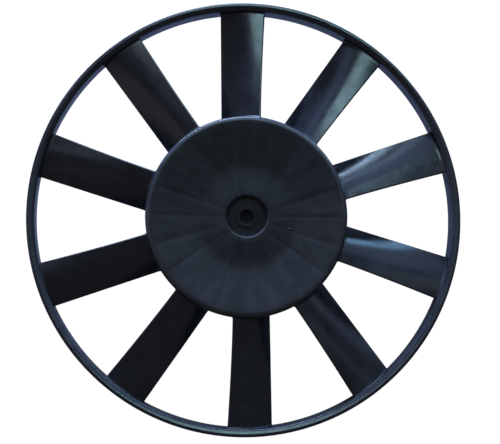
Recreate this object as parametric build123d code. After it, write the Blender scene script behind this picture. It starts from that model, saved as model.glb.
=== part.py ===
from build123d import *
import math
import os

# Axial fan impeller: one black plastic moulding with an outer ring, ten twisted blades and a dished
# hub cap that is open behind. It lies on the rear rim of its hub.
# Origin: on the shaft axis, at the plane of the hub's rear rim. +Z points out of the front face.
# All lengths are millimetres and all angles are degrees.

# Outer ring: a thin wall with a rounded lip that flares outward at the front
ring_bore_radius = 147.0
ring_wall = 2.2
ring_depth = 14.0
ring_set_back = 4.0
lip_reach = 3.3
lip_thickness = 2.8
mouth_round = 3.0
lip_round = 2.2
ring_rear_chamfer = 0.5

# Hub cap: a cup, closed at the front by a face that dips to a valley and rises again to the middle
hub_radius = 70.8
hub_height = 26.0
hub_wall = 2.4
face_wall = 2.4
rim_round = 3.0
rim_flat = 1.3
rear_rim_chamfer = 0.5
cup_corner_chamfer = 1.0
valley_radius = 35.2
valley_depth = 3.2
crown_rise = 1.4

# Recess in the middle of the face, with a low collar round the shaft bore
recess_radius = 15.0
recess_draft = 2.2
recess_depth = 4.8
recess_floor_wall = 3.0
bore_radius = 5.0
collar_wall = 2.8
collar_height = 0.6
collar_chamfer = 0.4

# Boss and radial ribs behind the face: heights are measured from the plane of the hub's rear rim
boss_wall = 6.0
boss_end_z = 5.0
boss_end_chamfer = 0.6
rib_count = 20
rib_thickness = 1.6
rib_edge_z_at_wall = 9.0
rib_edge_z_at_boss = 12.0

# Blades: widths are measured square to the blade's own radial line, from that line to each edge.
# A drop is from the hub's front plane at the root and from the ring's front plane at the tip.
# A rise is how much the leading edge stands in front of the trailing edge.
blade_count = 10
first_blade_angle = 17.4
root_lead = 9.2
tip_lead = 11.7
lead_sweep_power = 1.6
root_trail = 17.9
tip_trail = 19.8
root_lead_drop = 3.2
tip_lead_drop = 4.2
root_rise = 15.8
tip_rise = 5.8
root_camber = 2.2
tip_camber = 1.7
root_thickness = 3.0
tip_thickness = 2.4
nose_thickness = 1.9
nose_flat = 0.9
tail_thickness = 1.3
thickest_share = 0.35

# How far a blade or a rib runs into what carries it, and a cutting body past what it cuts
root_bite = 1.2
overrun = 5.0

# How finely the forms are drawn: flats on a rounding, and sections and points on a blade
round_flats = 3
blade_stations = 5
section_points = 6

ring_outer_radius = ring_bore_radius + ring_wall + lip_reach
ring_front_z = hub_height - ring_set_back
inner_radius = hub_radius - hub_wall
dish_radius = hub_radius - rim_round - rim_flat
valley_z = hub_height - valley_depth
recess_rim_z = valley_z + crown_rise
recess_floor_radius = recess_radius - recess_draft
recess_floor_z = recess_rim_z - recess_depth
boss_radius = bore_radius + boss_wall
collar_radius = bore_radius + collar_wall


def mix(a, b, share):
    return a + (b - a) * share


def turned(corners):
    """Solid of revolution about Z. Each corner is its radius and its height."""
    outline = Polyline(*[(radius, 0, height) for radius, height in corners], close=True)
    return revolve(make_face(outline), Axis.Z)


def rounding(radius, height, size, start, end):
    """Corners of a rounding about this centre, as narrow flats, for a turned outline."""
    corners = []
    for step in range(round_flats + 1):
        angle = math.radians(mix(start, end, step / round_flats))
        corners.append((radius + size * math.cos(angle), height + size * math.sin(angle)))
    return corners


def outer_ring():
    wall_radius = ring_bore_radius + ring_wall
    rear_z = ring_front_z - ring_depth
    lip_rear_z = ring_front_z - lip_thickness
    mouth = rounding(ring_bore_radius + mouth_round, ring_front_z - mouth_round, mouth_round, 180, 90)
    lip = rounding(ring_outer_radius - lip_round, ring_front_z - lip_round, lip_round, 90, 0)
    back = [
        (ring_outer_radius, lip_rear_z),
        (wall_radius, lip_rear_z),
        (wall_radius, rear_z + ring_rear_chamfer),
        (wall_radius - ring_rear_chamfer, rear_z),
        (ring_bore_radius, rear_z),
    ]
    return turned(mouth + lip + back)


def faceted_frustum(radius_low, z_low, radius_high, z_high):
    """Frustum with one flat between each pair of ribs; the radii are to the middles of the flats."""
    rings = []
    for radius, height in ((radius_low, z_low), (radius_high, z_high)):
        flats = RegularPolygon(radius, rib_count, major_radius=False)
        corners = (Pos(0, 0, height) * Rot(0, 0, first_blade_angle) * flats).vertices()
        rings.append([Vector(*corner) for corner in corners])
    low, high = rings
    faces = [Face(Wire.make_polygon(low)), Face(Wire.make_polygon(high))]
    for index in range(rib_count):
        following = (index + 1) % rib_count
        side = [low[index], low[following], high[following], high[index]]
        faces.append(Face(Wire.make_polygon(side)))
    return Solid(Shell(faces))


def dish():
    """The space in front of the face: it narrows down to the valley, round a low crown."""
    slope = valley_depth / (dish_radius - valley_radius)
    bowl = faceted_frustum(valley_radius, valley_z, dish_radius + overrun / slope, hub_height + overrun)
    crown_slope = crown_rise / (valley_radius - recess_radius)
    crown_top_z = recess_rim_z + recess_draft * crown_slope
    crown = faceted_frustum(valley_radius, valley_z, recess_floor_radius, crown_top_z)
    return bowl - crown


def recess():
    """Tapered recess, with the collar left standing on its floor."""
    collar_z = recess_floor_z + collar_height
    taper = recess_draft / recess_depth
    return turned(
        [
            (0, collar_z),
            (collar_radius - collar_chamfer, collar_z),
            (collar_radius, collar_z - collar_chamfer),
            (collar_radius, recess_floor_z),
            (recess_floor_radius, recess_floor_z),
            (recess_radius + taper * overrun, recess_rim_z + overrun),
            (0, recess_rim_z + overrun),
        ]
    )


def hub_hollow(front_space):
    """The space behind the face, which keeps an even wall under the dish and round the recess."""
    top_z = hub_height - face_wall
    space = turned(
        [
            (0, -overrun),
            (inner_radius, -overrun),
            (inner_radius, top_z - cup_corner_chamfer),
            (inner_radius - cup_corner_chamfer, top_z),
            (0, top_z),
        ]
    )
    recess_back = turned(
        [
            (0, recess_floor_z - recess_floor_wall),
            (recess_radius + face_wall, recess_floor_z - recess_floor_wall),
            (recess_radius + face_wall, hub_height),
            (0, hub_height),
        ]
    )
    return space - (Pos(0, 0, -face_wall) * front_space) - recess_back


def hub_cap():
    front_space = dish()
    rim = rounding(hub_radius - rim_round, hub_height - rim_round, rim_round, 0, 90)
    rear = [(0, 0), (hub_radius - rear_rim_chamfer, 0), (hub_radius, rear_rim_chamfer)]
    blank = turned(rear + rim + [(0, hub_height)])
    return blank - hub_hollow(front_space) - front_space


def centre_boss():
    return turned(
        [
            (0, boss_end_z),
            (boss_radius - boss_end_chamfer, boss_end_z),
            (boss_radius, boss_end_z + boss_end_chamfer),
            (boss_radius, recess_floor_z - root_bite),
            (0, recess_floor_z - root_bite),
        ]
    )


def face_rib():
    """One radial rib, standing along +X, from the boss to the cup wall and up into the face."""
    inner = boss_radius - root_bite
    outer = inner_radius + root_bite
    recess_side = recess_radius + face_wall - root_bite
    depth_in_face = face_wall - root_bite
    floor_z = recess_floor_z - recess_floor_wall + root_bite
    side = Polyline(
        (inner, 0, rib_edge_z_at_boss),
        (outer, 0, rib_edge_z_at_wall),
        (outer, 0, hub_height - rim_round),
        (dish_radius, 0, hub_height - depth_in_face),
        (valley_radius, 0, valley_z - depth_in_face),
        (recess_side, 0, recess_rim_z - depth_in_face),
        (recess_side, 0, floor_z),
        (inner, 0, floor_z),
        close=True,
    )
    return extrude(make_face(side), rib_thickness / 2, both=True)


def blade_thickness(along, thickest):
    """Thickness from the nose, at 0, to the tail, at 1, with no kink at either end."""
    if along < thickest_share:
        swell = (1 - math.cos(math.pi * along / thickest_share)) / 2
        return mix(nose_thickness, thickest, swell)
    taper = (1 - math.cos(math.pi * (along - thickest_share) / (1 - thickest_share))) / 2
    return mix(thickest, tail_thickness, taper)


def blade_section(distance):
    """Section of the blade along +X at this distance, bowed towards the front face."""
    share = (distance - hub_radius) / (ring_bore_radius - hub_radius)
    lead = mix(root_lead, tip_lead, max(share, 0) ** lead_sweep_power)
    trail = mix(root_trail, tip_trail, share)
    lead_z = mix(hub_height - root_lead_drop, ring_front_z - tip_lead_drop, share)
    nose = Vector(distance, nose_thickness / 2 - lead, lead_z)
    tail = Vector(distance, trail, lead_z - mix(root_rise, tip_rise, share))
    chord = tail - nose
    front = Vector(1, 0, 0).cross(chord).normalized()
    camber = mix(root_camber, tip_camber, share)
    thickest = mix(root_thickness, tip_thickness, share)

    def camber_run(along):
        """Direction of the camber line, from nose to tail."""
        return (chord + front * (camber * 4 * (1 - 2 * along))).normalized()

    def skin_point(along, side):
        centre = nose + chord * along + front * (camber * 4 * along * (1 - along))
        square = Vector(1, 0, 0).cross(camber_run(along))
        return centre + square * (side * blade_thickness(along, thickest) / 2)

    steps = [step / (section_points - 1) for step in range(section_points)]
    front_skin = [skin_point(along, 1) for along in steps]
    rear_skin = [skin_point(along, -1) for along in reversed(steps)]
    nose_tip = nose - camber_run(0) * (nose_thickness / 2)
    nose_side = Vector(1, 0, 0).cross(camber_run(0)) * (nose_flat / 2)
    return make_face(
        [
            Spline(front_skin, tangents=(camber_run(0), camber_run(1))),
            Line(front_skin[-1], rear_skin[0]),
            Spline(rear_skin, tangents=(camber_run(1) * -1, camber_run(0) * -1)),
            Line(rear_skin[-1], nose_tip - nose_side),
            Line(nose_tip - nose_side, nose_tip + nose_side),
            Line(nose_tip + nose_side, front_skin[0]),
        ]
    )


def blade():
    """One blade along +X, ending inside the cup wall and inside the ring wall."""
    inner = hub_radius - root_bite
    outer = ring_bore_radius + root_bite
    sections = []
    for station in range(blade_stations):
        distance = mix(inner - overrun, outer + overrun, station / (blade_stations - 1))
        sections.append(blade_section(distance))
    span = turned([(inner, 0), (outer, 0), (outer, hub_height), (inner, hub_height)])
    return loft(sections) & span


def polar(shape, count):
    """Even copies round the axis, the first of them at the first blade's angle."""
    return [Rot(0, 0, first_blade_angle + 360 * index / count) * shape for index in range(count)]


def impeller():
    """The whole moulding, in the order: ring, hub and blades, then the back, then the bore."""
    fan = hub_cap() + [outer_ring()] + polar(blade(), blade_count)
    fan = fan - recess()
    fan = fan + [centre_boss()] + polar(face_rib(), rib_count)
    return fan - turned([(0, 0), (bore_radius, 0), (bore_radius, hub_height), (0, hub_height)])


os.makedirs("parts", exist_ok=True)
fan = impeller()
fan.label = "impeller"
export_step(fan, "parts/impeller.step")
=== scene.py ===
import math

import bmesh
import bpy
from mathutils import Matrix, Vector


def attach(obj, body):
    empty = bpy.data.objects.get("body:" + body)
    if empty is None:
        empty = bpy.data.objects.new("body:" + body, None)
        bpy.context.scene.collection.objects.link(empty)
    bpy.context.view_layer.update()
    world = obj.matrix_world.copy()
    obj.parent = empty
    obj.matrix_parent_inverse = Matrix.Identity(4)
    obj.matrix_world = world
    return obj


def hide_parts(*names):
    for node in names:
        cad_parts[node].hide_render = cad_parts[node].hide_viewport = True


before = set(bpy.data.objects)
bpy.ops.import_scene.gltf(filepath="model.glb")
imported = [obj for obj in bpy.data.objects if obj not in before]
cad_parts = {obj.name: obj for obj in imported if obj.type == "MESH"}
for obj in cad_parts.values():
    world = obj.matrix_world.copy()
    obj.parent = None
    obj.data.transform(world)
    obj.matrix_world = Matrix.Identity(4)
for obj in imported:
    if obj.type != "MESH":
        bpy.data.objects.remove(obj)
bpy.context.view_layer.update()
print("frame loaded")


# small helpers

mm = 0.001


def mix(a, b, share):
    return a + (b - a) * share


def limited(value, low, high):
    return max(low, min(high, value))


# lengths of the moulding are in millimetres and angles in degrees, as in the CAD source

bladeCount = 10
ribCount = 20
firstBladeAngle = 17.4

turning = {
    "columns": 400, "arcStep": 12.0, "smallArcStep": 30.0, "smallArc": 1.2, "slack": 0.01, "longestRun": 4.0,
}

hub = {
    "radius": 70.8, "height": 26.0, "wall": 2.4, "rimRound": 3.0, "rimFlat": 1.3, "dishRadius": 66.5,
    "valleyRadius": 35.2, "valleyDepth": 3.2, "crownRise": 1.0, "skin": 0.5, "facetMargin": 0.1,
    "recessRadius": 15.0, "recessFloorRadius": 12.8, "recessDepth": 4.4, "recessWall": 3.0,
    "collarRadius": 7.8, "collarHeight": 0.6, "boreRadius": 5.0, "bossRadius": 11.0, "bossEnd": 5.0,
    "rearRound": 0.5, "cornerRound": 1.0, "edgeRound": 0.35, "boreRound": 0.3, "collarRound": 0.35,
    "collarFootRound": 0.2, "recessFloorRound": 0.6, "recessBackRound": 0.5, "bossRound": 0.6,
}

ring = {
    "boreRadius": 147.0, "outerRadius": 152.5, "wall": 2.2, "front": 22.0, "depth": 14.0,
    "lipThickness": 2.8, "lipRound": 1.4, "edgeRound": 0.5, "smallRound": 0.3,
    "bevelRadius": 150.2, "bevelDrop": 1.2, "bevelRound": 1.0, "mouthRound": 2.0, "mouthStart": 2.6,
}

# the face sinks a little over each rib, more over some of them than over others
sinkLines = {
    "halfWidth": 1.6, "depth": 0.11, "fade": 3.0,
    "shares": (
        0.7, 0.3, 0.2, 0.1, 0.2, 0.1, 0.2, 0.3, 0.9, 0.6,
        0.5, 0.9, 0.3, 0.7, 0.3, 0.3, 0.3, 0.7, 0.8, 1.0,
    ),
}

ribs = {"thickness": 1.6, "edgeAtWall": 9.0, "edgeAtBoss": 12.0, "bite": 1.2}

blade = {
    "rootLead": 9.2, "tipLead": 11.7, "leadPower": 1.6, "rootTrail": 17.9, "tipTrail": 19.8,
    "rootLeadZ": 22.8, "tipLeadZ": 17.8, "rootRise": 15.8, "tipRise": 5.8,
    "rootCamber": 2.2, "tipCamber": 1.7, "rootThickness": 3.0, "tipThickness": 2.4,
    "nose": 1.9, "tail": 1.3, "thickest": 0.35, "tailRound": 0.35,
    "skinSteps": 22, "noseSteps": 10, "tailSteps": 6, "stations": 36,
    "fillet": 1.1, "filletSteps": 6, "sink": 0.03, "rootBury": 0.5, "tipBury": 1.2,
    "settleSteps": 4, "steepest": 0.95,
}


# height of the front face: it falls from the dish's edge to the valley and rises again to the crown

def faceHeight(radius):
    valley = hub["height"] - hub["valleyDepth"]
    if radius > hub["valleyRadius"]:
        share = (radius - hub["valleyRadius"]) / (hub["dishRadius"] - hub["valleyRadius"])
        return min(hub["height"], mix(valley, hub["height"], share))
    share = (hub["valleyRadius"] - radius) / (hub["valleyRadius"] - hub["recessRadius"])
    return mix(valley, valley + hub["crownRise"], share)


# turned shells: corners are radius, height and rounding

def roundedCorner(before, corner, after, rounding):
    if rounding == 0:
        return [corner]
    toBefore = (before - corner).normalized()
    toAfter = (after - corner).normalized()
    half = toBefore.angle(toAfter) / 2
    centre = corner + (toBefore + toAfter).normalized() * (rounding / math.sin(half))
    start = corner + toBefore * (rounding / math.tan(half)) - centre
    turn = toBefore.angle_signed(toAfter)
    sweep = math.copysign(math.pi - abs(turn), turn)
    arcStep = turning["smallArcStep"] if rounding < turning["smallArc"] else turning["arcStep"]
    steps = max(2, math.ceil(math.degrees(abs(sweep)) / arcStep - turning["slack"]))
    arc = []
    for step in range(steps + 1):
        spoke = start.copy()
        spoke.rotate(Matrix.Rotation(sweep * step / steps, 2))
        arc.append(centre + spoke)
    return arc


def roundedOutline(corners):
    places = [Vector((radius, height)) for radius, height, rounding in corners]
    arcs = []
    for index, place in enumerate(places):
        following = places[(index + 1) % len(places)]
        arcs.append(roundedCorner(places[index - 1], place, following, corners[index][2]))
    outline = []
    for index, arc in enumerate(arcs):
        outline += arc
        following = arcs[(index + 1) % len(arcs)][0]
        runs = math.ceil((following - arc[-1]).length / turning["longestRun"])
        outline += [arc[-1].lerp(following, run / runs) for run in range(1, runs)]
    return outline


def onCircle(radius, height, angle):
    return (radius * math.cos(angle), radius * math.sin(angle), height)


# the dish and the crown have one flat between each pair of ribs, as in the CAD part, and the sink lines

def onFacets(radius, height, angle):
    pitch = 2 * math.pi / ribCount
    turn = angle - math.radians(firstBladeAngle)
    rib = round(turn / pitch)
    beside = turn - rib * pitch
    lowestFacet = hub["height"] - hub["valleyDepth"] - hub["wall"] - hub["facetMargin"]
    if height < lowestFacet:
        return onCircle(radius, height, angle)
    inner = (radius - hub["recessRadius"] - hub["wall"]) / sinkLines["fade"]
    outer = (hub["dishRadius"] + hub["rimFlat"] - radius) / hub["rimFlat"]
    share = limited(min(inner, outer), 0, 1)
    wide = radius * mix(1, 1 / math.cos(pitch / 2 - abs(beside)), share)
    if height > faceHeight(radius) - hub["skin"]:
        depth = sinkLines["depth"] * sinkLines["shares"][rib % ribCount]
        away = wide * math.sin(beside) / sinkLines["halfWidth"]
        fade = share * limited((hub["dishRadius"] - radius) / sinkLines["fade"], 0, 1)
        height -= depth * fade * math.exp(-away * away)
    return onCircle(wide, height, angle)


def turnedShell(corners, placed):
    outline = roundedOutline(corners)
    columns = turning["columns"]
    count = len(outline)
    points = []
    faces = []
    for column in range(columns):
        angle = math.radians(firstBladeAngle + 360 * column / columns)
        points += [placed(corner.x, corner.y, angle) for corner in outline]
        following = (column + 1) % columns
        for index in range(count):
            ahead = (index + 1) % count
            faces.append((column * count + index, following * count + index,
                          following * count + ahead, column * count + ahead))
    return points, faces


def hubShell():
    edge = hub["edgeRound"]
    wall = hub["wall"]
    valleyRadius = hub["valleyRadius"]
    recessRim = faceHeight(hub["recessRadius"])
    recessFloor = recessRim - hub["recessDepth"]
    recessBack = recessFloor - hub["recessWall"]
    recessSide = hub["recessRadius"] + wall
    collarTop = recessFloor + hub["collarHeight"]
    inner = hub["radius"] - wall
    return turnedShell([
        (hub["boreRadius"], hub["bossEnd"], hub["boreRound"]),
        (hub["boreRadius"], collarTop, hub["boreRound"]),
        (hub["collarRadius"], collarTop, hub["collarRound"]),
        (hub["collarRadius"], recessFloor, hub["collarFootRound"]),
        (hub["recessFloorRadius"], recessFloor, hub["recessFloorRound"]),
        (hub["recessRadius"], recessRim, edge),
        (valleyRadius, faceHeight(valleyRadius), 0),
        (hub["dishRadius"], hub["height"], 0),
        (hub["radius"], hub["height"], hub["rimRound"]),
        (hub["radius"], 0, hub["rearRound"]),
        (inner, 0, edge),
        (inner, hub["height"] - wall, hub["cornerRound"]),
        (hub["dishRadius"], hub["height"] - wall, 0),
        (valleyRadius, faceHeight(valleyRadius) - wall, 0),
        (recessSide, faceHeight(recessSide) - wall, hub["recessBackRound"]),
        (recessSide, recessBack, hub["recessBackRound"]),
        (hub["bossRadius"], recessBack, hub["recessBackRound"]),
        (hub["bossRadius"], hub["bossEnd"], hub["bossRound"]),
    ], onFacets)


def ringShell():
    outside = ring["boreRadius"] + ring["wall"]
    rear = ring["front"] - ring["depth"]
    lipRear = ring["front"] - ring["lipThickness"]
    return turnedShell([
        (ring["boreRadius"], ring["front"] - ring["bevelDrop"], ring["mouthRound"]),
        (ring["bevelRadius"], ring["front"], ring["bevelRound"]),
        (ring["outerRadius"], ring["front"], ring["lipRound"]),
        (ring["outerRadius"], lipRear, ring["smallRound"]),
        (outside, lipRear, ring["edgeRound"]),
        (outside, rear, ring["edgeRound"]),
        (ring["boreRadius"], rear, ring["smallRound"]),
    ], onCircle)


# blades: a section is a loop of front skin, tail, rear skin and nose

def bladeThickness(along, thickest):
    if along < blade["thickest"]:
        swell = (1 - math.cos(math.pi * along / blade["thickest"])) / 2
        return mix(blade["nose"], thickest, swell)
    taper = (1 - math.cos(math.pi * (along - blade["thickest"]) / (1 - blade["thickest"]))) / 2
    return mix(thickest, blade["tail"], taper)


def loopPlaces():
    steps = blade["skinSteps"]
    skin = [(1 - math.cos(math.pi * step / steps)) / 2 for step in range(steps + 1)]
    places = [("front", along) for along in skin]
    places += [("tail", step / blade["tailSteps"]) for step in range(1, blade["tailSteps"])]
    places += [("rear", along) for along in reversed(skin)]
    places += [("nose", step / blade["noseSteps"]) for step in range(1, blade["noseSteps"])]
    return places


def bladeSection(distance):
    out = (distance - hub["radius"]) / (ring["boreRadius"] - hub["radius"])
    lead = mix(blade["rootLead"], blade["tipLead"], max(out, 0) ** blade["leadPower"])
    leadZ = mix(blade["rootLeadZ"], blade["tipLeadZ"], out)
    nose = Vector((blade["nose"] / 2 - lead, leadZ))
    tail = Vector((mix(blade["rootTrail"], blade["tipTrail"], out),
                   leadZ - mix(blade["rootRise"], blade["tipRise"], out)))
    tail -= (tail - nose).normalized() * blade["tailRound"]
    chord = tail - nose
    bow = Vector((-chord.y, chord.x)).normalized() * mix(blade["rootCamber"], blade["tipCamber"], out) * 4
    return nose, chord, bow, mix(blade["rootThickness"], blade["tipThickness"], out)


def sectionPoint(distance, side, share):
    nose, chord, bow, thickest = bladeSection(distance)
    along = {"front": share, "rear": share, "tail": 1, "nose": 0}[side]
    run = (chord + bow * (1 - 2 * along)).normalized()
    square = Vector((-run.y, run.x))
    centre = nose + chord * along + bow * (along * (1 - along))
    half = bladeThickness(along, thickest) / 2
    turn = math.pi * share
    if side == "front":
        return centre + square * half
    if side == "rear":
        return centre - square * half
    if side == "tail":
        return centre + square * (half * math.cos(turn)) + run * (blade["tailRound"] * math.sin(turn))
    return centre - square * (half * math.cos(turn)) - run * (half * math.sin(turn))


# the section's loop laid on the cylinder of this radius, as arc and height, and moved out by the spread

def bladeLoop(radius, spread):
    loop = []
    for side, share in loopPlaces():
        distance = radius
        for settle in range(blade["settleSteps"]):
            across, height = sectionPoint(distance, side, share)
            distance = math.sqrt(radius * radius - across * across)
        loop.append(Vector((radius * math.atan2(across, distance), height)))
    spreadLoop = []
    for index, point in enumerate(loop):
        run = (loop[(index + 1) % len(loop)] - loop[index - 1]).normalized()
        spreadLoop.append(point + Vector((-run.y, run.x)) * spread)
    return spreadLoop


# how far a blade's end goes in or out to meet the roundings of the hub's rim and the ring's mouth

def hubWall(height):
    above = limited(height - hub["height"] + hub["rimRound"], 0, hub["rimRound"] * blade["steepest"])
    return math.sqrt(hub["rimRound"] ** 2 - above ** 2) - hub["rimRound"]


def ringWall(height):
    above = limited(height - ring["front"] + ring["mouthStart"], 0, ring["mouthRound"] * blade["steepest"])
    return ring["mouthRound"] - math.sqrt(ring["mouthRound"] ** 2 - above ** 2)


def straight(height):
    return 0


# stations along a blade are radius, spread of the section and the wall that it follows

def bladeStations():
    fillet = blade["fillet"]
    flare = []
    for step in range(blade["filletSteps"] + 1):
        turn = math.pi / 2 * (1 - step / blade["filletSteps"])
        flare.append((fillet * (1 - math.sin(turn)) - blade["sink"], fillet * (1 - math.cos(turn))))
    root = hub["radius"]
    tip = ring["boreRadius"]
    stations = [(root - blade["rootBury"], fillet, hubWall)]
    stations += [(root + lift, spread, hubWall) for lift, spread in flare]
    for step in range(1, blade["stations"]):
        stations.append((mix(root + fillet, tip - fillet, step / blade["stations"]), 0, straight))
    stations += [(tip - lift, spread, ringWall) for lift, spread in reversed(flare)]
    stations.append((tip + blade["tipBury"], fillet, ringWall))
    return stations


def bladeShell():
    points = []
    stations = bladeStations()
    for radius, spread, wall in stations:
        for arc, height in bladeLoop(radius, spread):
            points.append(onCircle(radius + wall(height), height, arc / radius))
    count = len(loopPlaces())
    last = (len(stations) - 1) * count
    faces = [tuple(range(count)), tuple(range(last, last + count))]
    for station in range(len(stations) - 1):
        for index in range(count):
            ahead = (index + 1) % count
            faces.append((station * count + index, (station + 1) * count + index,
                          (station + 1) * count + ahead, station * count + ahead))
    return points, faces


# ribs behind the face

def ribShell():
    bite = ribs["bite"]
    recessBack = faceHeight(hub["recessRadius"]) - hub["recessDepth"] - hub["recessWall"]
    inner = hub["bossRadius"] - bite
    outer = hub["radius"] - hub["wall"] + bite
    recessSide = hub["recessRadius"] + hub["wall"] - bite
    inFace = hub["wall"] - bite
    side = [
        (inner, ribs["edgeAtBoss"]),
        (outer, ribs["edgeAtWall"]),
        (outer, hub["height"] - hub["rimRound"]),
        (hub["dishRadius"], hub["height"] - inFace),
        (hub["valleyRadius"], faceHeight(hub["valleyRadius"]) - inFace),
        (recessSide, faceHeight(recessSide) - inFace),
        (recessSide, recessBack + bite),
        (inner, recessBack + bite),
    ]
    count = len(side)
    half = ribs["thickness"] / 2
    points = [(x, -half, z) for x, z in side] + [(x, half, z) for x, z in side]
    faces = [tuple(range(count)), tuple(range(count, 2 * count))]
    for index in range(count):
        ahead = (index + 1) % count
        faces.append((index, ahead, count + ahead, count + index))
    return points, faces


# the whole moulding as one skin: the shells are made separately and joined

def repeated(shell, count):
    points, faces = shell
    allPoints = []
    allFaces = []
    for index in range(count):
        turn = Matrix.Rotation(math.radians(firstBladeAngle + 360 * index / count), 3, "Z")
        first = len(allPoints)
        allPoints += [turn @ Vector(point) for point in points]
        allFaces += [tuple(corner + first for corner in face) for face in faces]
    return allPoints, allFaces


def shellObject(name, *shells):
    build = bmesh.new()
    for points, faces in shells:
        corners = [build.verts.new(Vector(point) * mm) for point in points]
        for face in faces:
            build.faces.new([corners[index] for index in face])
    bmesh.ops.recalc_face_normals(build, faces=build.faces)
    mesh = bpy.data.meshes.new(name)
    build.to_mesh(mesh)
    build.free()
    made = bpy.data.objects.new(name, mesh)
    bpy.context.scene.collection.objects.link(made)
    return made


def combineShells(base, others, operation):
    for other in others:
        step = base.modifiers.new("combine", "BOOLEAN")
        step.operation = operation
        step.solver = "MANIFOLD"
        step.object = other
    graph = bpy.context.evaluated_depsgraph_get()
    joined = bpy.data.meshes.new_from_object(base.evaluated_get(graph))
    base.modifiers.clear()
    base.data = joined
    for other in others:
        bpy.data.objects.remove(other)


# a nick in the face: a small hollow and a scratch, with a burr pushed up beside them

nick = {
    "burr": {"place": (29.8, -8.7, 23.16), "size": (1.15, 0.85, 0.62), "turn": 24},
    "hollow": {"place": (31.8, -9.7, 23.30), "size": (1.35, 0.95, 0.95), "turn": -15},
    "scratch": {"place": (31.6, -7.6, 23.25), "size": (1.9, 0.28, 0.42), "turn": 63},
}


def lump(name):
    settings = nick[name]
    build = bmesh.new()
    bmesh.ops.create_icosphere(build, subdivisions=2, radius=mm)
    mesh = bpy.data.meshes.new(name)
    build.to_mesh(mesh)
    build.free()
    place = Matrix.Translation(Vector(settings["place"]) * mm)
    turn = Matrix.Rotation(math.radians(settings["turn"]), 4, "Z")
    mesh.transform(place @ turn @ Matrix.Diagonal((*settings["size"], 1)))
    made = bpy.data.objects.new(name, mesh)
    bpy.context.scene.collection.objects.link(made)
    return made


sharpAngle = 32


def buildMoulding():
    moulding = shellObject("impellerMoulding", hubShell(), ringShell())
    bladeSet = shellObject("bladeSet", repeated(bladeShell(), bladeCount))
    ribSet = shellObject("ribSet", repeated(ribShell(), ribCount))
    combineShells(moulding, [bladeSet, ribSet, lump("burr")], "UNION")
    combineShells(moulding, [lump("hollow"), lump("scratch")], "DIFFERENCE")
    moulding.data.shade_smooth()
    moulding.data.set_sharp_from_angle(angle=math.radians(sharpAngle))
    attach(moulding, "root")
    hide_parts("impeller")
    return moulding


moulding = buildMoulding()
print("moulding", sum(len(face.vertices) - 2 for face in moulding.data.polygons), "triangles")


# shader helpers

def addNode(tree, kind, x, y, **settings):
    node = tree.nodes.new(kind)
    node.location = (x, y)
    for name, value in settings.items():
        setattr(node, name, value)
    return node


def join(tree, source, outName, target, inName):
    tree.links.new(source.outputs[outName], target.inputs[inName])


def setInputs(node, values):
    for name, value in values.items():
        node.inputs[name].default_value = value


# effects of the plastic: each is a shader node group

number = "NodeSocketFloat"
vector = "NodeSocketVector"


def newGroup(name, inputs, outputs):
    group = bpy.data.node_groups.new(name, "ShaderNodeTree")
    for socket, kind in inputs:
        group.interface.new_socket(socket, in_out="INPUT", socket_type=kind)
    for socket, kind in outputs:
        group.interface.new_socket(socket, in_out="OUTPUT", socket_type=kind)
    start = addNode(group, "NodeGroupInput", -1100, 0)
    end = addNode(group, "NodeGroupOutput", 1100, 0)
    return group, start, end


# noise mostly lies between these two values, which become -1 and 1

centredNoise = {"From Min": 0.3, "From Max": 0.7, "To Min": -1, "To Max": 1}


# share of the hub's front face: 1 inside the inner edge, 0 outside the outer edge and behind the face

def buildFaceZone():
    group, start, end = newGroup(
        "hubFaceZone",
        [("Place", vector), ("Inner Edge", number), ("Outer Edge", number),
         ("Back Height", number), ("Front Height", number)],
        [("Share", number)],
    )
    split = addNode(group, "ShaderNodeSeparateXYZ", -800, 0)
    flat = addNode(group, "ShaderNodeCombineXYZ", -600, 0)
    length = addNode(group, "ShaderNodeVectorMath", -400, 0, operation="LENGTH")
    fade = addNode(group, "ShaderNodeMapRange", -100, 0)
    front = addNode(group, "ShaderNodeMapRange", -100, -300)
    both = addNode(group, "ShaderNodeMath", 200, 0, operation="MULTIPLY")
    setInputs(fade, {"To Min": 1, "To Max": 0})
    join(group, start, "Place", split, "Vector")
    join(group, split, "X", flat, "X")
    join(group, split, "Y", flat, "Y")
    join(group, flat, "Vector", length, 0)
    join(group, length, "Value", fade, "Value")
    join(group, start, "Inner Edge", fade, "From Min")
    join(group, start, "Outer Edge", fade, "From Max")
    join(group, split, "Z", front, "Value")
    join(group, start, "Back Height", front, "From Min")
    join(group, start, "Front Height", front, "From Max")
    join(group, fade, "Result", both, 0)
    join(group, front, "Result", both, 1)
    join(group, both, "Value", end, "Share")
    return group


# streaks that run out from the axis, as the melt flowed: -1 to 1 about nought

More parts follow.
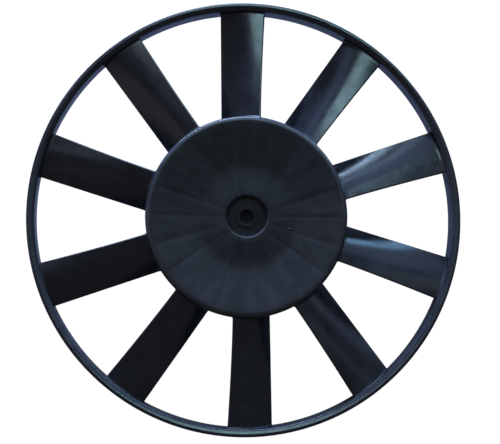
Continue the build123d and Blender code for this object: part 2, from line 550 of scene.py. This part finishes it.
def buildFlowStreaks():
    group, start, end = newGroup(
        "flowStreaks",
        [("Place", vector), ("Fineness", number), ("Length", number)],
        [("Streaks", number)],
    )
    split = addNode(group, "ShaderNodeSeparateXYZ", -900, 0)
    flat = addNode(group, "ShaderNodeCombineXYZ", -700, 0)
    length = addNode(group, "ShaderNodeVectorMath", -500, -200, operation="LENGTH")
    direction = addNode(group, "ShaderNodeVectorMath", -500, 100, operation="NORMALIZE")
    spread = addNode(group, "ShaderNodeVectorMath", -300, 100, operation="SCALE")
    along = addNode(group, "ShaderNodeMath", -300, -200, operation="DIVIDE")
    lifted = addNode(group, "ShaderNodeCombineXYZ", -100, -200)
    both = addNode(group, "ShaderNodeVectorMath", 100, 0, operation="ADD")
    noise = addNode(group, "ShaderNodeTexNoise", 300, 0)
    centred = addNode(group, "ShaderNodeMapRange", 550, 0, clamp=False)
    setInputs(noise, {"Scale": 1.0, "Detail": 3.0})
    setInputs(centred, centredNoise)
    join(group, start, "Place", split, "Vector")
    join(group, split, "X", flat, "X")
    join(group, split, "Y", flat, "Y")
    join(group, flat, "Vector", length, 0)
    join(group, flat, "Vector", direction, 0)
    join(group, direction, "Vector", spread, 0)
    join(group, start, "Fineness", spread, "Scale")
    join(group, length, "Value", along, 0)
    join(group, start, "Length", along, 1)
    join(group, along, "Value", lifted, "Z")
    join(group, spread, "Vector", both, 0)
    join(group, lifted, "Vector", both, 1)
    join(group, both, "Vector", noise, "Vector")
    join(group, noise, "Fac", centred, "Value")
    join(group, centred, "Result", end, "Streaks")
    return group


# broad uneven patches of a duller or a shinier skin: -1 to 1 about nought

def buildPatches():
    group, start, end = newGroup(
        "skinPatches",
        [("Place", vector), ("Size", number)],
        [("Patches", number)],
    )
    scale = addNode(group, "ShaderNodeMath", -700, -200, operation="DIVIDE")
    noise = addNode(group, "ShaderNodeTexNoise", -400, 0)
    centred = addNode(group, "ShaderNodeMapRange", 0, 0, clamp=False)
    scale.inputs[0].default_value = 1.0
    setInputs(noise, {"Detail": 4.0, "Roughness": 0.6})
    setInputs(centred, centredNoise)
    join(group, start, "Size", scale, 1)
    join(group, start, "Place", noise, "Vector")
    join(group, scale, "Value", noise, "Scale")
    join(group, noise, "Fac", centred, "Value")
    join(group, centred, "Result", end, "Patches")
    return group


# fine grain of the mould's surface, as a bumped normal

def buildGrain():
    group, start, end = newGroup(
        "mouldGrain",
        [("Place", vector), ("Size", number), ("Depth", number)],
        [("Normal", vector)],
    )
    scale = addNode(group, "ShaderNodeMath", -700, -200, operation="DIVIDE")
    noise = addNode(group, "ShaderNodeTexNoise", -400, 0)
    bump = addNode(group, "ShaderNodeBump", 0, 0)
    scale.inputs[0].default_value = 1.0
    setInputs(noise, {"Detail": 2.0})
    join(group, start, "Size", scale, 1)
    join(group, start, "Place", noise, "Vector")
    join(group, scale, "Value", noise, "Scale")
    join(group, noise, "Fac", bump, "Height")
    join(group, start, "Depth", bump, "Distance")
    join(group, bump, "Normal", end, "Normal")
    return group


# fine light specks of dust

def buildDust():
    group, start, end = newGroup(
        "dustSpecks",
        [("Place", vector), ("Spacing", number), ("Amount", number)],
        [("Dust", number)],
    )
    scale = addNode(group, "ShaderNodeMath", -800, -200, operation="DIVIDE")
    cells = addNode(group, "ShaderNodeTexVoronoi", -500, 0)
    tone = addNode(group, "ShaderNodeSeparateColor", -300, -200)
    chosen = addNode(group, "ShaderNodeMath", -100, -200, operation="LESS_THAN")
    speck = addNode(group, "ShaderNodeMapRange", -100, 100)
    both = addNode(group, "ShaderNodeMath", 200, 0, operation="MULTIPLY")
    scale.inputs[0].default_value = 1.0
    setInputs(speck, {"From Min": 0.05, "From Max": 0.22, "To Min": 1, "To Max": 0})
    join(group, start, "Spacing", scale, 1)
    join(group, start, "Place", cells, "Vector")
    join(group, scale, "Value", cells, "Scale")
    join(group, cells, "Color", tone, "Color")
    join(group, tone, "Red", chosen, 0)
    join(group, start, "Amount", chosen, 1)
    join(group, cells, "Distance", speck, "Value")
    join(group, chosen, "Value", both, 0)
    join(group, speck, "Result", both, 1)
    join(group, both, "Value", end, "Dust")
    return group


# black plastic: glossy blades and ring, and a duller hub face that mirrors less

plastic = {
    "glossyColour": (0.0100, 0.0115, 0.0150, 1.0), "glossyRoughness": 0.22,
    "matteColour": (0.0232, 0.0228, 0.0242, 1.0), "matteRoughness": 0.44,
    "glossySpecular": 0.5, "matteSpecular": 0.07,
    "innerEdge": 0.0672, "outerEdge": 0.0700, "backHeight": 0.0172, "frontHeight": 0.0180,
    "streakFineness": 5.0, "streakLength": 0.030, "streakTone": 0.22,
    "patchSize": 0.010, "patchTone": 0.16, "patchRoughness": 0.06,
    "grainSize": 0.0009, "grainDepth": 0.000006,
    "dustSpacing": 0.0022, "dustAmount": 0.05, "dustShare": 0.10, "dustColour": (0.20, 0.21, 0.22, 1.0),
}


# the groups are built once, and both plastics use them

effects = {
    "zone": buildFaceZone(), "streaks": buildFlowStreaks(), "patches": buildPatches(),
    "grain": buildGrain(), "dust": buildDust(),
}


def buildPlastic(name, specular):
    material = bpy.data.materials.new(name)
    material.use_nodes = True
    tree = material.node_tree
    shader = tree.nodes["Principled BSDF"]
    place = addNode(tree, "ShaderNodeTexCoord", -1500, 0)
    zone = addNode(tree, "ShaderNodeGroup", -1200, 400, node_tree=effects["zone"])
    streaks = addNode(tree, "ShaderNodeGroup", -1200, 100, node_tree=effects["streaks"])
    patches = addNode(tree, "ShaderNodeGroup", -1200, -100, node_tree=effects["patches"])
    grain = addNode(tree, "ShaderNodeGroup", -1200, -300, node_tree=effects["grain"])
    dust = addNode(tree, "ShaderNodeGroup", -1200, -500, node_tree=effects["dust"])
    base = addNode(tree, "ShaderNodeMix", -900, 400, data_type="RGBA")
    streakTone = addNode(tree, "ShaderNodeMath", -900, 150, operation="MULTIPLY_ADD")
    patchTone = addNode(tree, "ShaderNodeMath", -700, 100, operation="MULTIPLY_ADD")
    toned = addNode(tree, "ShaderNodeVectorMath", -500, 300, operation="SCALE")
    dustShare = addNode(tree, "ShaderNodeMath", -700, -400, operation="MULTIPLY")
    dusted = addNode(tree, "ShaderNodeMix", -250, 200, data_type="RGBA")
    finish = addNode(tree, "ShaderNodeMapRange", -700, -100)
    roughness = addNode(tree, "ShaderNodeMath", -250, -100, operation="MULTIPLY_ADD")
    setInputs(zone, {"Inner Edge": plastic["innerEdge"], "Outer Edge": plastic["outerEdge"]})
    setInputs(zone, {"Back Height": plastic["backHeight"], "Front Height": plastic["frontHeight"]})
    setInputs(streaks, {"Fineness": plastic["streakFineness"], "Length": plastic["streakLength"]})
    setInputs(patches, {"Size": plastic["patchSize"]})
    setInputs(grain, {"Size": plastic["grainSize"], "Depth": plastic["grainDepth"]})
    setInputs(dust, {"Spacing": plastic["dustSpacing"], "Amount": plastic["dustAmount"]})
    setInputs(base, {"A": plastic["glossyColour"], "B": plastic["matteColour"]})
    setInputs(dusted, {"B": plastic["dustColour"]})
    setInputs(finish, {"To Min": plastic["glossyRoughness"], "To Max": plastic["matteRoughness"]})
    setInputs(shader, {"Specular IOR Level": specular})
    streakTone.inputs[1].default_value = plastic["streakTone"]
    streakTone.inputs[2].default_value = 1.0
    patchTone.inputs[1].default_value = plastic["patchTone"]
    dustShare.inputs[1].default_value = plastic["dustShare"]
    roughness.inputs[1].default_value = plastic["patchRoughness"]
    for effect in (zone, streaks, patches, grain, dust):
        join(tree, place, "Object", effect, "Place")
    join(tree, zone, "Share", base, "Factor")
    join(tree, streaks, "Streaks", streakTone, 0)
    join(tree, patches, "Patches", patchTone, 0)
    join(tree, streakTone, "Value", patchTone, 2)
    join(tree, base, "Result", toned, 0)
    join(tree, patchTone, "Value", toned, "Scale")
    join(tree, dust, "Dust", dustShare, 0)
    join(tree, dustShare, "Value", dusted, "Factor")
    join(tree, toned, "Vector", dusted, "A")
    join(tree, dusted, "Result", shader, "Base Color")
    join(tree, zone, "Share", finish, "Value")
    join(tree, patches, "Patches", roughness, 0)
    join(tree, finish, "Result", roughness, 2)
    join(tree, roughness, "Value", shader, "Roughness")
    join(tree, grain, "Normal", shader, "Normal")
    return material


# where the hub face's plastic ends: beside the bore, below the recess floor and at the rim

faceLimits = {"boreEdge": 5.2, "recessEdge": 15.3, "belowFloor": 0.1, "rimEdge": 67.8}


def onFace(place):
    radius = math.hypot(place.x, place.y) / mm
    height = place.z / mm
    recessFloor = faceHeight(hub["recessRadius"]) - hub["recessDepth"]
    inRecess = faceLimits["boreEdge"] < radius < faceLimits["recessEdge"]
    if inRecess and height > recessFloor - faceLimits["belowFloor"]:
        return True
    return radius < faceLimits["rimEdge"] and height > faceHeight(radius) - hub["skin"]


def finishMoulding(mesh):
    mesh.materials.clear()
    mesh.materials.append(buildPlastic("glossyPlastic", plastic["glossySpecular"]))
    mesh.materials.append(buildPlastic("hubFacePlastic", plastic["matteSpecular"]))
    for face in mesh.polygons:
        face.material_index = 1 if onFace(face.center) else 0


finishMoulding(moulding.data)
print("plastic on the impeller")


# floor: its glow stops under the hub, and there its colour is a darker tone of painted shade, so that the
# bore looks dark; it is clear from below

# glossyColour is a painted reflection: the floor as the plastic mirrors it, darker and bluer, and it is also
# the painted shade under the hub
floorSettings = {
    "halfSize": 6.0, "colour": (0.90, 0.90, 0.90, 1.0), "glossyColour": (0.30, 0.31, 0.40, 1.0),
    "shadowShare": 0.02, "strength": 1.05, "paintedShadeRadius": 0.060,
}


def buildFloorMaterial():
    material = bpy.data.materials.new("paleFloor")
    material.use_nodes = True
    tree = material.node_tree
    tree.nodes.clear()
    output = addNode(tree, "ShaderNodeOutputMaterial", 800, 0)
    sides = addNode(tree, "ShaderNodeMixShader", 600, 0)
    mixer = addNode(tree, "ShaderNodeMixShader", 400, 0)
    clear = addNode(tree, "ShaderNodeBsdfTransparent", 400, -200)
    facing = addNode(tree, "ShaderNodeNewGeometry", 400, 300)
    diffuse = addNode(tree, "ShaderNodeBsdfDiffuse", 150, -100)
    glow = addNode(tree, "ShaderNodeEmission", 150, -250)
    path = addNode(tree, "ShaderNodeLightPath", -800, 0)
    tone = addNode(tree, "ShaderNodeMix", -200, -100, data_type="RGBA")
    seen = addNode(tree, "ShaderNodeMath", -400, 100, operation="MAXIMUM")
    share = addNode(tree, "ShaderNodeMath", 0, 100, operation="MULTIPLY")
    place = addNode(tree, "ShaderNodeTexCoord", -800, 400)
    length = addNode(tree, "ShaderNodeVectorMath", -600, 400, operation="LENGTH")
    outside = addNode(tree, "ShaderNodeMath", -400, 400, operation="GREATER_THAN")
    # painted shade: inside this radius under the hub the floor takes the darker tone, darker than its shadow
    # alone makes it
    inside = addNode(tree, "ShaderNodeMath", -600, -100, operation="LESS_THAN")
    paintedShade = addNode(tree, "ShaderNodeMath", -400, -100, operation="MAXIMUM")
    masked = addNode(tree, "ShaderNodeMath", 200, 200, operation="MULTIPLY")
    share.inputs[1].default_value = 1 - floorSettings["shadowShare"]
    outside.inputs[1].default_value = floorSettings["paintedShadeRadius"]
    inside.inputs[1].default_value = floorSettings["paintedShadeRadius"]
    tone.inputs["A"].default_value = floorSettings["colour"]
    tone.inputs["B"].default_value = floorSettings["glossyColour"]
    glow.inputs["Strength"].default_value = floorSettings["strength"]
    join(tree, length, "Value", inside, 0)
    # painted reflection: glossy rays see the floor in the darker, bluer tone
    join(tree, path, "Is Glossy Ray", paintedShade, 0)
    join(tree, inside, "Value", paintedShade, 1)
    join(tree, paintedShade, "Value", tone, "Factor")
    join(tree, tone, "Result", diffuse, "Color")
    join(tree, path, "Is Camera Ray", seen, 0)
    join(tree, path, "Is Transmission Ray", seen, 1)
    join(tree, seen, "Value", share, 0)
    join(tree, place, "Object", length, 0)
    join(tree, length, "Value", outside, 0)
    join(tree, share, "Value", masked, 0)
    join(tree, outside, "Value", masked, 1)
    join(tree, masked, "Value", mixer, "Fac")
    join(tree, diffuse, "BSDF", mixer, 1)
    join(tree, glow, "Emission", mixer, 2)
    join(tree, facing, "Backfacing", sides, "Fac")
    join(tree, mixer, "Shader", sides, 1)
    join(tree, clear, "BSDF", sides, 2)
    join(tree, sides, "Shader", output, "Surface")
    return material


def buildFloor():
    size = floorSettings["halfSize"]
    mesh = bpy.data.meshes.new("floor")
    corners = [(-size, -size, 0), (size, -size, 0), (size, size, 0), (-size, size, 0)]
    mesh.from_pydata(corners, [], [(0, 1, 2, 3)])
    floor = bpy.data.objects.new("floor", mesh)
    bpy.context.scene.collection.objects.link(floor)
    mesh.materials.append(buildFloorMaterial())


buildFloor()


# the room lights the object softly, and the camera sees white beyond the floor

room = {"colour": (0.95, 0.90, 1.0, 1.0), "strength": 0.12, "backdrop": (1.0, 1.0, 1.0, 1.0)}


def buildRoom():
    world = bpy.data.worlds.new("room")
    world.use_nodes = True
    tree = world.node_tree
    tree.nodes.clear()
    output = addNode(tree, "ShaderNodeOutputWorld", 400, 0)
    mixer = addNode(tree, "ShaderNodeMixShader", 200, 0)
    path = addNode(tree, "ShaderNodeLightPath", -200, 300)
    seen = addNode(tree, "ShaderNodeMath", 0, 300, operation="MAXIMUM")
    light = addNode(tree, "ShaderNodeBackground", 0, 0)
    backdrop = addNode(tree, "ShaderNodeBackground", 0, -200)
    light.inputs["Color"].default_value = room["colour"]
    light.inputs["Strength"].default_value = room["strength"]
    backdrop.inputs["Color"].default_value = room["backdrop"]
    join(tree, path, "Is Camera Ray", seen, 0)
    join(tree, path, "Is Transmission Ray", seen, 1)
    join(tree, seen, "Value", mixer, "Fac")
    join(tree, light, "Background", mixer, 1)
    join(tree, backdrop, "Background", mixer, 2)
    join(tree, mixer, "Shader", output, "Surface")
    bpy.context.scene.world = world


buildRoom()
print("floor and room")


# lamps: each faces the origin from the same distance, in a direction given as azimuth and elevation.
# The low one that isn't mirrored lights the hub's face and doesn't show in the plastic's shine.

lampDistance = 1.7

lamps = {
    "grazingLight": {"azimuth": 98, "elevation": 3.5, "width": 1.60, "height": 0.20,
                     "power": 270, "colour": (0.52, 0.66, 1.00), "mirrored": False},
    "lowWindow": {"azimuth": 104, "elevation": 2.5, "width": 1.40, "height": 0.20,
                  "power": 30, "colour": (0.50, 0.68, 1.00)},
    "windowMiddle": {"azimuth": 92, "elevation": 8, "width": 1.00, "height": 0.20,
                     "power": 10, "colour": (0.38, 0.55, 1.00)},
    "windowRight": {"azimuth": 63, "elevation": 15, "width": 0.24, "height": 0.34,
                    "power": 3.0, "colour": (0.30, 0.60, 1.00)},
    "windowTop": {"azimuth": 97, "elevation": 14, "width": 0.26, "height": 0.28,
                  "power": 3.4, "colour": (0.52, 0.76, 1.00)},
    "windowUpper": {"azimuth": 90, "elevation": 29, "width": 0.26, "height": 0.24,
                    "power": 0.6, "colour": (0.46, 0.72, 1.00)},
    "windowLeft": {"azimuth": 138, "elevation": 9, "width": 0.25, "height": 0.50,
                   "power": 3.6, "colour": (0.34, 0.47, 1.00)},
    "leftSide": {"azimuth": 180, "elevation": 24, "width": 0.45, "height": 0.90,
                 "power": 1.7, "colour": (0.66, 0.70, 1.00)},
    "rightSide": {"azimuth": 42, "elevation": 25, "width": 1.05, "height": 0.45,
                  "power": 1.5, "colour": (0.42, 0.62, 1.00)},
    "ceilingLamp": {"azimuth": 85, "elevation": 62.5, "width": 0.46, "height": 0.42,
                    "power": 4.1, "colour": (0.54, 0.88, 0.98)},
    "ceilingLampEnd": {"azimuth": 63, "elevation": 67.5, "width": 0.22, "height": 0.18,
                       "power": 1.5, "colour": (0.48, 0.92, 0.98)},
    "rightHigh": {"azimuth": 15, "elevation": 66, "width": 0.50, "height": 0.50,
                  "power": 0.4, "colour": (0.70, 0.85, 1.00)},
    "leftHigh": {"azimuth": 170, "elevation": 72, "width": 0.30, "height": 0.30,
                 "power": 0.25, "colour": (0.60, 0.75, 1.00)},
    "windowEdge": {"azimuth": 46, "elevation": 5, "width": 0.60, "height": 0.25,
                   "power": 5.0, "colour": (0.42, 0.80, 1.00)},
    "ceilingBack": {"azimuth": 96, "elevation": 37, "width": 1.10, "height": 0.75,
                    "power": 3.2, "colour": (0.38, 0.55, 1.00)},
    "ceilingRight": {"azimuth": 42, "elevation": 39, "width": 0.80, "height": 0.50,
                     "power": 1.1, "colour": (0.38, 0.50, 1.00)},
    "ceilingLeft": {"azimuth": 116, "elevation": 72, "width": 0.40, "height": 0.40,
                    "power": 0.5, "colour": (0.80, 0.76, 1.00)},
    "frontLeft": {"azimuth": 210, "elevation": 36, "width": 0.90, "height": 0.90,
                  "power": 0.7, "colour": (1.00, 0.80, 1.00)},
}


def buildLamp(name, lamp):
    data = bpy.data.lights.new(name, "AREA")
    data.shape = "RECTANGLE"
    data.size = lamp["width"]
    data.size_y = lamp["height"]
    data.energy = lamp["power"]
    data.color = lamp["colour"]
    azimuth = math.radians(lamp["azimuth"])
    elevation = math.radians(lamp["elevation"])
    away = Vector((math.cos(azimuth) * math.cos(elevation), math.sin(azimuth) * math.cos(elevation),
                   math.sin(elevation)))
    made = bpy.data.objects.new(name, data)
    made.location = away * lampDistance
    made.visible_glossy = lamp.get("mirrored", True)
    made.rotation_euler = away.to_track_quat("Z", "Y").to_euler()
    bpy.context.scene.collection.objects.link(made)


for name, lamp in lamps.items():
    buildLamp(name, lamp)
print("lamps")


# camera: looks down on the front face, a little from the lower left

cameraSettings = {
    "place": (-0.04305, -0.05141, 0.66857), "tilt": -4.20, "turn": 4.005, "lens": 66.93, "sensor": 36.0,
}


def buildCamera():
    data = bpy.data.cameras.new("camera")
    data.lens = cameraSettings["lens"]
    data.sensor_width = cameraSettings["sensor"]
    camera = bpy.data.objects.new("camera", data)
    tilt = Matrix.Rotation(math.radians(cameraSettings["tilt"]), 3, "X")
    turn = Matrix.Rotation(math.radians(cameraSettings["turn"]), 3, "Y")
    aim = (tilt @ turn).transposed()
    camera.matrix_world = Matrix.Translation(cameraSettings["place"]) @ aim.to_4x4()
    bpy.context.scene.collection.objects.link(camera)
    bpy.context.scene.camera = camera


buildCamera()
bpy.context.scene.view_settings.view_transform = "Standard"
print("camera")
